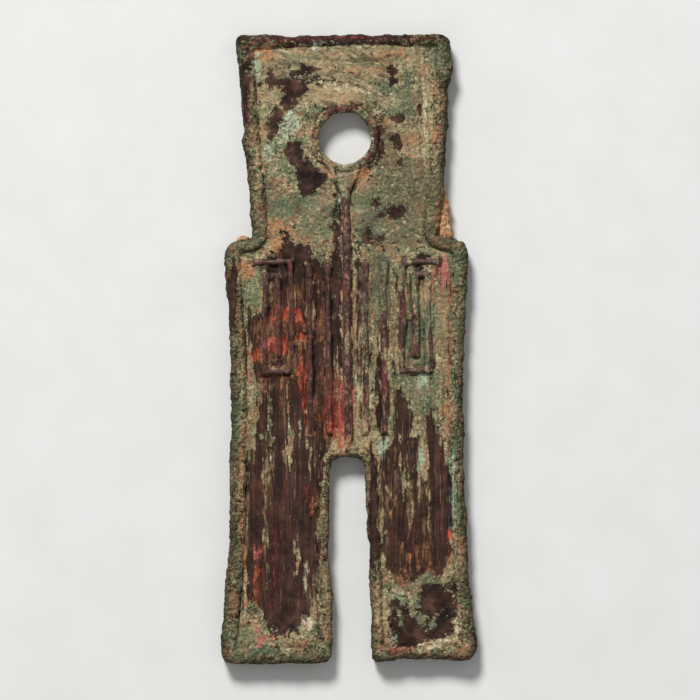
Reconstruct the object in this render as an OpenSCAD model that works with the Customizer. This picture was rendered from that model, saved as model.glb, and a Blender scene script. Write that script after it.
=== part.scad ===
// Flat two-footed spade coin, cast in bronze, lying on its back.
// X runs across the coin, Y towards its head and Z out of its face, in millimetres.
// The origin is at the middle of its outline, on the plane that it lies on.

/* [Outline] */
// Overall length, from the head to the feet
coin_len = 57.4; // [54:0.1:62]
// Width across the top of the head
head_w = 19.7; // [18.6:0.1:21]
// Width at the foot of the head, where it meets the shoulders
neck_w = 17; // [16:0.1:18]
// Length of the head, from its top to the shoulders
head_len = 18.7; // [17.5:0.1:20]
// Width across the shoulders
shoulder_w = 22.4; // [21.6:0.1:24]
// Width across the waist, the narrowest place below the shoulders
waist_w = 21.1; // [20.4:0.1:21.6]
// Width across the feet, before their corners are rounded
foot_w = 23.4; // [22.6:0.1:25]
// Length of the slot between the feet
slot_len = 18.9; // [17:0.1:20]
// Width of the slot at its closed end
slot_top_w = 3.4; // [2.8:0.1:4]
// Width of the slot at its mouth
slot_foot_w = 3.9; // [3.2:0.1:4.4]

/* [Corners] */
// Radius of the head's top corners
head_corner_r = 0.9; // [0.5:0.1:1.6]
// Radius in the nook between the head and a shoulder
nook_r = 0.6; // [0.3:0.1:1]
// Radius of the shoulders' outer corners
shoulder_corner_r = 1.6; // [1:0.1:2.2]
// Radius of the feet's outer corners
foot_corner_r = 1.1; // [0.6:0.1:1.6]
// Radius of the feet's corners at the slot
foot_slot_r = 0.8; // [0.5:0.1:1.2]
// Radius of the slot's closed corners
slot_corner_r = 1.2; // [0.8:0.1:1.3]
// Smallest radius left where a corner is drawn inwards
least_r = 0.2; // [0.1:0.05:0.3]

/* [Border] */
// Thickness of the coin over its border
border_t = 2.1; // [1.9:0.05:2.6]
// Thickness of the recessed field
field_t = 1.2; // [0.9:0.05:1.4]
// Width of the border along the sides and the feet
side_rim_w = 1.4; // [1.1:0.05:1.7]
// Width of the border along the top and the shoulders
top_rim_w = 1.05; // [0.9:0.05:1.4]
// Width of the border round the slot
slot_rim_w = 1.1; // [0.9:0.05:1.3]
// How much narrower the border is at its crest than at its foot
rim_draft = 0.35; // [0.2:0.05:0.45]
// Rounding of the border's worn outer edges
edge_r = 0.3; // [0.2:0.05:0.4]

/* [String hole] */
// Diameter of the hole
hole_d = 4.8; // [4:0.1:5.4]
// Distance of the hole's centre from the top of the head
hole_from_top = 9.4; // [8.6:0.1:10.2]
// Width of the raised collar at its foot
collar_w = 0.9; // [0.7:0.05:1.2]
// How much narrower the collar is at its crest than at its foot
collar_draft = 0.2; // [0.1:0.05:0.3]
// Rounding-off of the hole's worn mouths
mouth_chamfer = 0.15; // [0.1:0.05:0.25]

/* [Raised lines] */
// Width of the ridge from the hole to the slot
ridge_w = 0.85; // [0.6:0.05:1.1]
// Width of the other raised lines
line_w = 0.7; // [0.5:0.05:0.9]
// How far a raised line narrows from its foot to its crest, on each side
line_draft = 0.18; // [0.1:0.02:0.22]
// How far the crests of collar and lines stay below the border's crest
relief_drop = 0.1; // [0.05:0.01:0.15]
// How far down the ridge the flare under the hole reaches
flare_len = 1.7; // [1.2:0.1:2.4]
// Half the width of that flare where it meets the collar
flare_reach = 1.5; // [1.2:0.1:1.8]

/* [Fret] */
// Spacing of the fret's lines
fret_pitch = 1.2; // [1.1:0.05:1.3]
// Height of each fret, over the middle of its lines
fret_h = 10; // [8:0.2:12]
// Clear space between the shoulder's border and the frets and flutes
fret_shoulder_gap = 0.6; // [0.4:0.1:0.8]
// Clear space between the side border and a fret
fret_side_gap = 0.6; // [0.4:0.1:0.8]

/* [Flutes] */
// Straight raised lines between the ridge and each fret
flutes = 2; // [1:1:2]
// Clear space between the flutes and the slot's border
flute_slot_gap = 0.8; // [0.6:0.1:1.4]

/* [Burial crust] */
// Height of the earthy crust up the side of the head
crust_h = 4.6; // [3.6:0.1:5.4]
// Reach of that crust along the shoulder
crust_reach = 1.4; // [1:0.1:1.7]
// Thickness of the crust at its upper tip
crust_tip_t = 0.6; // [0.4:0.1:0.9]
// Thickness of the crust, from front to back
crust_t = 1.4; // [1:0.1:1.5]
// Thickness of the small grain of crust on the other shoulder
grain_t = 0.9; // [0.6:0.1:1.2]
// Distance of that grain from the side of the head
grain_from_head = 0.7; // [0.6:0.1:1]
// How much longer than thick that grain is, along the shoulder
grain_stretch = 0.4; // [0.2:0.1:0.6]

/* [Hidden] */

bronze_green = "#6f6f57";
bronze_brown = "#4a3530";
bronze_plum = "#6a4a48";
earth_orange = "#b9794a";

// Points in the arc that rounds a corner, and along each waisted side
corner_steps = 5;
side_steps = 8;
round_fn = 96;
crust_fn = 20;
// Spaces between the lines across a fret
fret_lanes = 3;
// Sine of a turn below which two edges count as one straight edge
straight_limit = 0.05;
// Room added to a cutter so that it passes through what it cuts
through = 1;

top_y = coin_len / 2;
foot_y = -coin_len / 2;
shoulder_y = top_y - head_len;
slot_y = foot_y + slot_len;
hole_y = top_y - hole_from_top;
hole_r = hole_d / 2;
collar_r = hole_r + collar_w;

rim_h = (border_t - field_t) / 2;
back_z = rim_h;
front_z = rim_h + field_t;
relief_h = rim_h - relief_drop;

// Outline

// A point a share of the way down the right side, bowed in to the waist
function side_point(share) =
    let (x = shoulder_w / 2 + (foot_w - shoulder_w) / 2 * share,
         bow = (shoulder_w + foot_w) / 4 - waist_w / 2,
         y = shoulder_y + (foot_y - shoulder_y) * share)
    [x - 4 * bow * share * (1 - share), y];

// Corners of the right half from the head's top to the slot, clockwise.
// Each is its point, its radius and the width of the border along the edge that leaves it.
right_half = concat(
    [[[head_w / 2, top_y], head_corner_r, side_rim_w],
     [[neck_w / 2, shoulder_y], nook_r, top_rim_w],
     [[shoulder_w / 2, shoulder_y], shoulder_corner_r, side_rim_w]],
    [for (k = [1 : side_steps - 1]) [side_point(k / side_steps), 0, side_rim_w]],
    [[[foot_w / 2, foot_y], foot_corner_r, side_rim_w],
     [[slot_foot_w / 2, foot_y], foot_slot_r, slot_rim_w],
     [[slot_top_w / 2, slot_y], slot_corner_r, slot_rim_w]]);

// The left half mirrors it, so an edge there leaves the corner that it reached on the right.
last = len(right_half) - 1;
corners = concat(right_half,
    [for (k = [last : -1 : 0])
        [[-right_half[k][0].x, right_half[k][0].y], right_half[k][1],
         k == 0 ? top_rim_w : right_half[k - 1][2]]]);

function unit(v) = v / norm(v);
function right_of(u) = [u.y, -u.x];
function turned(v, a) = [v.x * cos(a) - v.y * sin(a), v.x * sin(a) + v.y * cos(a)];

// Where two lines meet that lie d1 and d2 to the right of a corner, along n1 and n2
function moved_corner(n1, n2, d1, d2) =
    let (det = cross(n1, n2))
    abs(det) > straight_limit ? [d1 * n2.y - d2 * n1.y, n1.x * d2 - n2.x * d1] / det
                              : (d1 + d2) / 2 * (n1 + n2) / (1 + n1 * n2);

// A corner rounded by an arc from direction u1 to u2, or the bare corner for no radius
function rounded(p, u1, u2, r) =
    let (turn = atan2(cross(u1, u2), u1 * u2),
         start = p - r * tan(abs(turn) / 2) * u1,
         centre = start + (turn < 0 ? r : -r) * right_of(u1))
    r == 0 ? [p]
           : [for (k = [0 : corner_steps]) centre + turned(start - centre, turn * k / corner_steps)];

// The outline drawn inwards by a share of the border's width plus a fixed distance
function outline(share = 0, fixed = 0) =
    let (n = len(corners),
         ways = [for (k = [0 : n - 1]) unit(corners[(k + 1) % n][0] - corners[k][0])],
         deep = [for (c = corners) share * c[2] + fixed])
    [for (k = [0 : n - 1])
        let (before = (k + n - 1) % n,
             u1 = ways[before],
             u2 = ways[k],
             d = (deep[before] + deep[k]) / 2,
             convex = cross(u1, u2) < 0,
             r = corners[k][1],
             drawn_r = r == 0 ? 0 : convex ? max(r - d, least_r) : r + d,
             shift = moved_corner(right_of(u1), right_of(u2), deep[before], deep[k]))
        each rounded(corners[k][0] + shift, u1, u2, drawn_r)];

// Lofts

// A closed tube through clockwise rings of equal point counts, each at its own height
module ring_loft(rings, heights) {
    n = len(rings[0]);
    m = len(rings);
    points = [for (j = [0 : m - 1]) for (p = rings[j]) [p.x, p.y, heights[j]]];
    polyhedron(points,
        [for (j = [0 : m - 1]) for (k = [0 : n - 1])
            let (a = j * n + k,
                 b = j * n + (k + 1) % n,
                 c = (j + 1) % m * n + (k + 1) % n,
                 d = (j + 1) % m * n + k)
            each [[a, b, c], [a, c, d]]]);
}

// Triangles over an outline whose points face each other across it, first against last
function zipped(n, first) =
    [for (k = [0 : floor((n - 1) / 2) - 1])
        let (across = n - 1 - k)
        each concat([[first + k, first + k + 1, first + across]],
                    k + 1 < across - 1 ? [[first + k + 1, first + across - 1, first + across]] : [])];
function flipped(faces) = [for (f = faces) [f[2], f[1], f[0]]];

// A solid between two such clockwise outlines of equal point counts, lower then upper
module capped_loft(lower, upper, z0, z1) {
    n = len(lower);
    points = concat([for (p = lower) [p.x, p.y, z0]], [for (p = upper) [p.x, p.y, z1]]);
    polyhedron(points,
        concat(flipped(zipped(n, 0)), zipped(n, n),
               [for (k = [0 : n - 1])
                   let (next = (k + 1) % n)
                   each [[k, next, n + next], [k, n + next, n + k]]]));
}

// Outline of a line of that half width along a path, drawn in at its ends, clockwise from above
function stroke(path, half_w, ends_in) =
    let (n = len(path) - 1,
         ways = [for (k = [0 : n - 1]) unit(path[k + 1] - path[k])],
         side = [for (k = [0 : n])
             let (n1 = right_of(ways[max(k - 1, 0)]), n2 = right_of(ways[min(k, n - 1)]))
             half_w * (n1 + n2) / (1 + n1 * n2)],
         end = [for (k = [0 : n])
             k == 0 ? path[0] + ends_in * ways[0] : k == n ? path[n] - ends_in * ways[n - 1] : path[k]])
    concat([for (k = [0 : n]) end[k] - side[k]], [for (k = [n : -1 : 0]) end[k] + side[k]]);

// A raised line along a path on the front of the field, narrower at its crest
module raised_line(path, width) {
    capped_loft(stroke(path, width / 2, 0), stroke(path, width / 2 - line_draft, line_draft),
                front_z, front_z + relief_h);
}

module mirrored() {
    mirror([1, 0, 0]) children();
}

// Turns a feature of the front face over to the back
module on_back() {
    translate([0, 0, border_t]) mirror([0, 0, 1]) children();
}

// The casting's border and field

module border() {
    bevel = edge_r * (1 - sqrt(0.5));
    crest = outline(1, -rim_draft);
    foot = outline(1);
    color(bronze_green) ring_loft(
        [outline(0, edge_r), outline(0, bevel), outline(), outline(), outline(0, bevel),
         outline(0, edge_r), crest, foot, foot, crest],
        [0, bevel, edge_r, border_t - edge_r, border_t - bevel,
         border_t, border_t, front_z, back_z, 0]);
}

module field() {
    color(bronze_brown) translate([0, 0, back_z]) difference() {
        linear_extrude(field_t) polygon(outline(1));
        translate([0, hole_y, -through]) cylinder(r = collar_r, h = field_t + 2 * through, $fn = round_fn);
    }
}

// The collar round the string hole

// The collar's section turned about the hole's axis, with both mouths rounded off
module hole_collar() {
    crest_z = border_t - relief_drop;
    foot_z = relief_drop;
    color(bronze_green) translate([0, hole_y, 0]) rotate_extrude($fn = round_fn)
        polygon([[hole_r, foot_z + mouth_chamfer], [hole_r, crest_z - mouth_chamfer],
                 [hole_r + mouth_chamfer, crest_z], [collar_r - collar_draft, crest_z],
                 [collar_r, front_z], [collar_r, back_z],
                 [collar_r - collar_draft, foot_z], [hole_r + mouth_chamfer, foot_z]]);
}

// Ridges between the hole and the slot

// The collar's outer slope as a filled cone, carried on past the slope at both ends
module collar_cone() {
    spread = collar_draft * through / relief_h;
    translate([0, hole_y, front_z - through])
        cylinder(r1 = collar_r + spread, r2 = collar_r - collar_draft - spread,
                 h = relief_h + 2 * through, $fn = round_fn);
}

// Outline of a ridge from its low end to the hole, wider by the flare where it meets the collar
function ridge_outline(half_w, flare, low_y, meet_y) =
    let (tip_y = hole_y - collar_r - flare_len,
         reach = half_w + flare,
         left = concat([[-half_w, low_y]],
                       flare > 0 ? [[-half_w, tip_y], [-reach, meet_y]] : [],
                       [[-reach, hole_y]]))
    concat(left, [for (k = [len(left) - 1 : -1 : 0]) [-left[k].x, left[k].y]]);

// A ridge cut to the collar's slope above, which leans with the border's slope below
module ridge(flare) {
    half_w = ridge_w / 2;
    low_y = slot_y + slot_rim_w;
    lean = rim_draft * relief_h / rim_h;
    meet_y = hole_y - sqrt(pow(collar_r, 2) - pow(half_w + flare, 2));
    difference() {
        capped_loft(ridge_outline(half_w, flare, low_y, meet_y),
                    ridge_outline(half_w - line_draft, flare, low_y - lean, meet_y),
                    front_z, front_z + relief_h);
        collar_cone();
    }
}

module front_ridge() {
    color(bronze_plum) ridge(flare_reach - ridge_w / 2);
}

module back_ridge() {
    color(bronze_plum) on_back() ridge(0);
}

// Tall square frets inside the side borders, below the shoulders

ornament_y = shoulder_y - top_rim_w - fret_shoulder_gap - line_w / 2;
fret_w = fret_lanes * fret_pitch;
fret_out_x = side_point((shoulder_y - ornament_y) / (shoulder_y - foot_y)).x
             - side_rim_w - fret_side_gap - line_w / 2;

// Corners of a square spiral that winds inwards from its upper outer corner
function fret_walk(p, k) =
    let (way = [[-1, 0], [0, -1], [1, 0], [0, 1]][k % 4],
         run = (k % 2 == 0 ? fret_w : fret_h) - fret_pitch * floor(k / 2))
    k == 2 * fret_lanes ? [p] : concat([p], fret_walk(p + run * way, k + 1));

module right_fret() {
    color(bronze_plum) raised_line(fret_walk([fret_out_x, ornament_y], 0), line_w);
}

module left_fret() {
    mirrored() right_fret();
}

// Flutes that share out the space between the ridge and a fret

module right_flutes() {
    low_y = slot_y + slot_rim_w + flute_slot_gap;
    color(bronze_plum) for (k = [1 : flutes]) {
        x = (fret_out_x - fret_w) * k / (flutes + 1);
        raised_line([[x, ornament_y], [x, low_y]], line_w);
    }
}

module left_flutes() {
    mirrored() right_flutes();
}

// Burial crust that clings to the casting

module casting_prism() {
    translate([0, 0, -through]) linear_extrude(border_t + 2 * through) polygon(outline());
}

// Lumps of crust joined into one mass, each its distance out from and up from the nook and its size
module crust_mass(lumps) {
    hull() for (lump = lumps)
        translate([neck_w / 2 + lump[0], shoulder_y + lump[1], border_t / 2])
            sphere(d = lump[2], $fn = crust_fn);
}

// How far the side of the head has splayed at a height above the shoulders
function head_splay(h) = (head_w - neck_w) / 2 * h / head_len;

module neck_crust() {
    tip_h = crust_h - crust_tip_t / 2;
    color(earth_orange) difference() {
        crust_mass([[head_splay(tip_h), tip_h, crust_tip_t], [0, crust_h / 2, crust_t],
                    [crust_reach - crust_t / 2, crust_t / 4, crust_t]]);
        casting_prism();
    }
}

module shoulder_grain() {
    color(earth_orange) mirrored() difference() {
        crust_mass([[grain_from_head, 0, grain_t], [grain_from_head + grain_stretch, 0, grain_t]]);
        casting_prism();
    }
}

border();
field();
hole_collar();
front_ridge();
back_ridge();
left_fret();
right_fret();
left_flutes();
right_flutes();
neck_crust();
shoulder_grain();
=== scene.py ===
"""Looks of the spade coin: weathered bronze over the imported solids, in the solids' own frame."""
import math
from itertools import product

import bpy
import numpy as np
from mathutils import Matrix, Vector


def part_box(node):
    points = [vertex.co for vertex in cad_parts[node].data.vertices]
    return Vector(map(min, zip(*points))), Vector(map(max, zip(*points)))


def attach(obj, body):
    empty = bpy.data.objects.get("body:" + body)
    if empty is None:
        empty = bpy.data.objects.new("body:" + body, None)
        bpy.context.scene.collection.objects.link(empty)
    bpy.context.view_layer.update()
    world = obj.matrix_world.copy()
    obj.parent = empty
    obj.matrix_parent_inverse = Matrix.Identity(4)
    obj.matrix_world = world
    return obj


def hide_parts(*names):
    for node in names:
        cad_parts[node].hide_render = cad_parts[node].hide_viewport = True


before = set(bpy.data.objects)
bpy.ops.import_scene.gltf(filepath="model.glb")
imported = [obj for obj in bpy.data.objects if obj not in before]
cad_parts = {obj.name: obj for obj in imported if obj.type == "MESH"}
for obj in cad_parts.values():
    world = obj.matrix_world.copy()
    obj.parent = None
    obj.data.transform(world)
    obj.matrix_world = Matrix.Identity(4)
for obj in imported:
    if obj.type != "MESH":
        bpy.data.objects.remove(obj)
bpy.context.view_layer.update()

MM = 0.001           # metres in a millimetre; the shapes below are worked out in mm

# Grids
PLAN_STEP = 0.1      # mm between the points of the plan maps
FAR = 2.5            # mm beyond which a distance isn't measured
BAND = 0.42          # mm each side of a surface in which it is weathered
SKIN = 0.01          # mm inside a solid's top and bottom at which it is still cut
FILL = 0.02          # mm by which a filled grid point lies inside its solid
SPECK = 60           # points below which a loose part of a mesh is left out
CORNERS = list(product((0, 1), repeat=3))   # of a cell of a grid
EDGES = [(a, b) for a in CORNERS for b in CORNERS
         if a < b and sum(abs(p - q) for p, q in zip(a, b)) == 1]

# Noise
SLOPES = 4096        # directions that the noise draws from, a power of two
HASH = (73856093, 19349663, 83492791)   # large primes that scatter the draws
NOISE_GAIN = 1.6     # brings the noise to about -1 to 1

# Wear and corrosion
STRAY = 0.11         # mm by which outlines stray by chance
LINE_LEVEL = 0.05    # mm above the field at which the raised lines are outlined
RIM_GAP = 0.16       # mm by which earth keeps further from the rims than from the lines
LODGED_H = 0.14      # mm of earth at the foot of a raised line
GROOVE = 0.13        # mm of groove at the foot of a raised line
LODGED_SIZE = (1.4, 2.6, 1.0)   # mm of a stretch of lodged earth
CRUST_H = 0.07       # mm by which crust stands out
GRAIN_H = 0.01       # mm of grain on bare bronze
CRUST_GRAIN_H = 0.05 # mm of grain that crust has more
STREAK_H = 0.05      # mm of streaks on the body
WRINKLE_H = 0.08     # mm of wrinkles where the head is wiped
WRINKLE_FALL = 0.22  # mm by which a wrinkle falls in each mm to the right
WIPED_SMOOTH = 0.6   # how far wiping smooths the grain
PIT_DEPTH = 0.12     # mm of pits in the crust
FACE_LINES = ["front_ridge", "left_fret", "right_fret", "left_flutes", "right_flutes"]

# Patina maps
TURNOVER = 0.4       # mm each side of the middle in which the face's patina becomes the back's
THIN = 0.32          # mm of half width below which a patch is drawn as firmly as a wider one
WANDER = 0.3         # mm by which a patch's edge wanders
FRAY = 0.1           # mm by which it is frayed
RAGGED = 0.12        # how far each colour's edge is ragged by itself
STREAK = (0.5, 5.0, 1.0)        # mm across, along and through a streak
STREAKED = 0.26      # how far streaks break up the crust on the body
BLOTCHED = 0.16      # how far blotches break it up everywhere
CRUST_DEPTH = 0.3    # most of the crust's map away from the brown bronze
BROWN_DEPTH = 0.5    # most of it within the brown bronze, below 0
BODY_TOP = (9.5, 6.0)           # y where the body's streaks set in, and where they are full
LEG_ENDS = (-24.5, -20.5)       # y where the streaks of the left and the right leg end
LEG_FADE = 0.8       # mm each side of that in which they fade
HEAD_STREAKS = 0.65  # how far the right side of the head is streaked
HEAD_SIDE_X, HEAD_SIDE_Y = (4.0, 6.0), (11.0, 16.0)   # where those streaks set in, to full
HEAD_WIPED = 0.75    # how far the top of the head is wiped sideways
WIPED_X, WIPED_Y = (6.0, 4.0), (21.6, 23.0)           # where the wiping sets in, to full
BACK_CRUST, BACK_MEAN = 0.9, 0.26     # how far the back's crust varies, about which mean
BACK_BARE = 0.24     # how much less of it the body has
BACK_CONTRAST = 1.3  # how far the back's colours vary
MAP_LOW, MAP_HIGH, CRUST_HIGH = -0.6, 0.2, 0.4   # limits of the values stored on a piece


def box_mm(node):
    """A node's lowest and highest corners in mm."""
    low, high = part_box(node)
    return np.array(low) / MM, np.array(high) / MM


COIN_LOW, COIN_HIGH = box_mm("border")
FIELD_BACK, FIELD_FRONT = box_mm("field")[0][2], box_mm("field")[1][2]
MID_Z = (FIELD_BACK + FIELD_FRONT) / 2
PLAN_EDGE = 2        # mm of plan map round the coin
PLAN_X = np.arange(COIN_LOW[0] - PLAN_EDGE, COIN_HIGH[0] + PLAN_EDGE, PLAN_STEP)
PLAN_Y = np.arange(COIN_LOW[1] - PLAN_EDGE, COIN_HIGH[1] + PLAN_EDGE, PLAN_STEP)

# Places where the old casting strays from its regular outline:
# x, y, reach in x, reach in y, shift in x, shift in y
NUDGES = [
    (0.3, -26.5, 3.2, 6.0, 0.36, 0.0), (7.0, -28.6, 4.0, 1.6, 0.0, 0.34),
    (-11.2, -24.0, 1.5, 4.0, -0.22, 0.0), (-10.8, -12.0, 1.5, 4.0, -0.16, 0.0),
    (9.9, 28.4, 1.2, 1.6, -0.25, 0.0), (10.0, 25.2, 0.9, 0.8, 0.16, 0.0),
    (-9.7, 28.6, 0.7, 0.7, -0.25, 0.2), (9.6, 23.6, 0.9, 0.6, -0.16, 0.0),
    (9.4, 21.7, 0.9, 0.5, -0.12, 0.0), (-9.3, 19.2, 0.9, 0.7, -0.22, 0.0),
    (-9.6, 27.4, 1.0, 0.9, -0.1, 0.0), (-2.1, -17.0, 0.9, 2.6, -0.14, 0.0),
    (11.0, -21.0, 0.9, 1.2, -0.12, 0.0),
]

# Patches of the face, each an ellipse: x, y, half width, half height, turn in degrees.
# First the bare brown bronze, with two strips of painted shadow among it, and the islands of crust
# in it
BROWN = [
    (-5.0, 24.55, 2.6, 0.4, 2), (-6.8, 25.3, 0.45, 0.45, 0), (-4.2, 25.3, 1.0, 0.45, 0),
    (-7.0, 24.6, 1.1, 0.25, 4), (-2.6, 24.6, 1.5, 0.22, -5), (-3.2, 25.5, 0.7, 0.2, 10),
    # Painted shadow: the first two strips on the next line, at y 28.05 and 28.1, are the dark line
    # that the top rim casts on the field, drawn as brown bronze
    (-2.0, 28.05, 4.0, 0.2, 0), (3.4, 28.1, 2.4, 0.16, 0), (0.0, 28.45, 9.0, 0.34, 0),
    (-4.6, 24.0, 1.0, 1.0, 0), (-5.3, 22.8, 0.65, 0.9, -20), (-6.3, 21.2, 0.6, 1.0, -15),
    (-6.7, 20.0, 0.5, 0.8, 0), (-4.7, 18.2, 0.9, 0.8, 0), (-4.6, 17.4, 0.7, 0.6, 0),
    (-3.8, 16.5, 0.8, 0.8, 0), (-3.2, 15.6, 1.4, 0.9, 0), (-3.5, 14.6, 0.8, 0.6, 0),
    (4.4, 25.6, 0.4, 0.5, 0), (4.3, 24.5, 0.3, 0.3, 0), (4.9, 21.1, 0.5, 0.6, 0),
    (4.4, 19.3, 0.3, 0.3, 0), (4.8, 18.6, 0.45, 0.7, 0), (4.9, 17.0, 0.25, 0.25, 0),
    (7.0, 21.9, 0.25, 0.2, 0), (7.9, 22.0, 0.2, 0.2, 0), (2.8, 13.3, 0.5, 0.45, 0),
    (4.4, 12.5, 0.95, 0.6, 0), (3.4, 12.2, 0.7, 0.3, 15), (2.0, 10.4, 0.5, 0.8, 0),
    (2.9, 10.0, 0.5, 0.6, 0), (-9.3, 23.2, 0.42, 4.4, -4), (-5.7, 10.4, 0.5, 0.6, 0),
    (-5.0, 8.6, 1.9, 1.2, 0), (-5.0, 2.0, 4.0, 7.5, 0), (-4.6, -6.0, 3.6, 4.5, 0),
    (-2.2, -3.0, 1.0, 5.5, 0), (7.2, 8.0, 0.7, 0.6, 0), (-10.5, 5.3, 0.42, 2.5, 0),
    (-6.1, -17.3, 3.3, 8.9, 0), (-6.0, -12.0, 3.4, 4.5, 0), (-6.2, -18.0, 3.5, 5.5, 0),
    (-6.0, -22.6, 3.1, 2.9, 0), (-5.6, -23.4, 1.9, 2.3, 0), (6.2, -14.5, 3.4, 6.2, 0),
    (6.0, -12.5, 3.5, 4.5, 0), (6.2, -18.0, 3.1, 3.6, 0), (7.7, -23.0, 1.35, 1.55, 0),
    (9.3, -23.4, 0.5, 2.0, 0), (6.4, -25.2, 2.8, 1.7, 0), (5.4, -26.3, 1.6, 1.1, 0),
    (4.3, -23.8, 0.6, 1.1, 0), (8.2, -25.2, 1.3, 1.4, 0), (2.4, -15.0, 0.5, 5.0, 0),
    (-2.4, -11.2, 0.4, 1.2, 0), (5.0, -6.5, 0.8, 2.5, 0), (7.6, -7.5, 0.7, 1.8, 0),
    (-0.85, 5.5, 0.42, 8.5, 0), (1.05, 4.5, 0.22, 4.5, 0), (3.0, -4.0, 0.3, 3.5, 0),
    (3.1, 19.2, 0.4, 1.9, 0), (2.3, 17.1, 0.4, 1.0, -40), (-0.3, 22.1, 1.6, 0.25, 5),
]
ISLANDS = [
    (-8.3, 5.6, 1.7, 2.6, 0), (4.6, -24.5, 0.35, 0.65, 15), (7.7, -25.2, 0.95, 0.35, 54),
    (6.05, -22.2, 0.4, 1.0, 8), (6.0, -23.6, 0.45, 0.9, -10), (6.6, -24.8, 0.55, 0.5, -40),
    (7.0, -21.2, 1.1, 0.45, 15), (-8.6, -6.5, 0.55, 3.4, 0), (-5.2, -8.6, 0.3, 1.4, 0),
    (-7.05, -7.0, 0.16, 4.2, 0), (-5.45, -5.5, 0.12, 4.2, 0), (-3.5, -9.2, 0.13, 2.4, 0),
    (-4.3, -7.4, 0.12, 1.0, 0), (6.9, -10.6, 0.5, 2.4, 0), (5.2, -11.5, 0.3, 1.6, 0),
    (-8.6, -24.8, 1.0, 1.5, 15), (-4.6, -18.6, 0.3, 1.6, 0),
]

# Then the colours that lie over both
OLIVE = [
    (5.4, 13.4, 3.4, 4.4, 0), (3.2, 11.2, 2.2, 1.6, 0), (3.6, 18.5, 1.2, 2.2, 0),
    (-6.9, 13.4, 1.1, 2.4, 0), (7.2, 4.6, 1.4, 1.2, 0), (-4.9, 13.2, 1.2, 1.0, 0),
    (9.2, 9.8, 1.8, 0.7, 0), (-8.6, 11.0, 1.2, 1.2, 0), (2.6, 5.0, 1.7, 4.0, 0),
    (4.8, 2.0, 0.9, 4.0, 0),
]
GREEN = [
    (1.7, 12.6, 1.0, 2.4, 0), (0.1, 15.6, 0.45, 1.3, 0), (3.3, 6.4, 0.7, 2.6, 0),
    (-2.6, 12.4, 1.6, 2.2, 0), (2.6, 12.4, 1.2, 2.6, 0), (-5.7, 12.6, 0.9, 1.3, 0),
    (6.05, -22.2, 0.45, 1.0, 8), (6.0, -23.6, 0.5, 0.9, -10), (6.6, -24.8, 0.6, 0.5, -40),
    (7.0, -21.2, 1.1, 0.5, 15), (4.6, -24.5, 0.4, 0.7, 15), (7.7, -25.2, 0.95, 0.3, 54),
    (-8.3, 4.9, 1.4, 1.2, 0), (8.6, 26.4, 0.9, 1.2, 0), (-8.9, 9.9, 1.5, 0.6, 10),
    (6.5, 1.0, 1.6, 4.0, 0), (6.6, -4.0, 1.2, 2.5, 0), (8.8, 14.0, 0.9, 2.5, 0),
    (-10.4, -7.0, 0.8, 3.5, 0), (-9.3, -27.0, 1.6, 1.2, 0), (5.6, 22.8, 1.0, 1.6, 0),
]
TAN = [
    (-7.7, 19.5, 0.28, 7.5, -4), (-3.8, 27.2, 1.4, 0.3, -18), (-0.8, 26.9, 1.8, 0.3, 2),
    (-1.8, 26.2, 1.2, 0.5, 0), (-1.2, 23.4, 2.1, 0.85, 0), (2.0, 25.0, 0.9, 0.45, 30),
    (6.0, 26.5, 1.3, 0.7, 0), (7.5, 24.2, 0.25, 2.0, 0), (7.1, 19.6, 0.2, 2.0, 0),
    (0.75, 4.0, 0.16, 5.0, 0), (-8.8, 8.3, 1.3, 0.22, 0), (7.0, 5.0, 0.5, 0.9, 0),
    (0.5, -9.0, 2.4, 0.45, 0), (2.0, -8.0, 0.8, 0.5, 0), (1.75, -3.0, 0.14, 3.5, 0),
    (2.6, -1.5, 0.12, 3.5, 0), (3.65, -2.0, 0.13, 3.0, 0), (4.6, 1.5, 0.13, 6.0, 0),
    (-9.4, -12.5, 0.18, 4.5, 1), (-7.6, -14.5, 0.2, 5.5, 0), (-7.3, -11.0, 0.35, 1.2, 0),
    (-9.2, -6.4, 0.13, 2.8, 0), (-5.7, -9.7, 0.14, 1.6, 0), (-3.5, -9.6, 0.15, 2.0, 0),
    (-3.3, -23.5, 0.35, 1.2, 0), (3.0, -15.0, 0.26, 4.5, 0), (3.7, -13.0, 0.18, 2.4, 0),
    (5.7, -13.0, 0.22, 3.6, 0), (7.4, -15.5, 0.2, 2.8, 0), (4.4, -11.0, 0.15, 2.2, 0),
    (6.6, -12.0, 0.25, 2.4, 4), (3.4, -24.5, 0.4, 1.8, 0), (-1.9, -22.0, 0.35, 4.0, 0),
    (2.7, -23.5, 0.35, 3.0, 0), (4.4, 11.0, 1.2, 0.4, 20), (-0.3, 11.0, 0.16, 3.0, 0),
    (-1.15, 14.9, 0.3, 1.5, 29), (1.9, 17.0, 0.9, 0.25, 35),
]
CREAM = [
    (-3.7, -25.2, 0.7, 0.7, 0), (7.9, -27.1, 1.6, 0.3, 12), (9.9, -25.4, 0.4, 1.2, -8),
    (7.35, 21.8, 0.16, 3.4, 2), (1.0, -3.2, 0.24, 1.6, 0), (-4.0, -21.0, 0.22, 1.4, 0),
    (9.6, 11.1, 0.35, 0.3, 0), (-3.8, -5.8, 0.25, 0.2, 0), (8.4, -27.9, 0.25, 0.15, 0),
    (-3.5, 22.3, 0.3, 0.25, 0), (-0.4, 24.1, 3.2, 0.26, -11),
]
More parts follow.
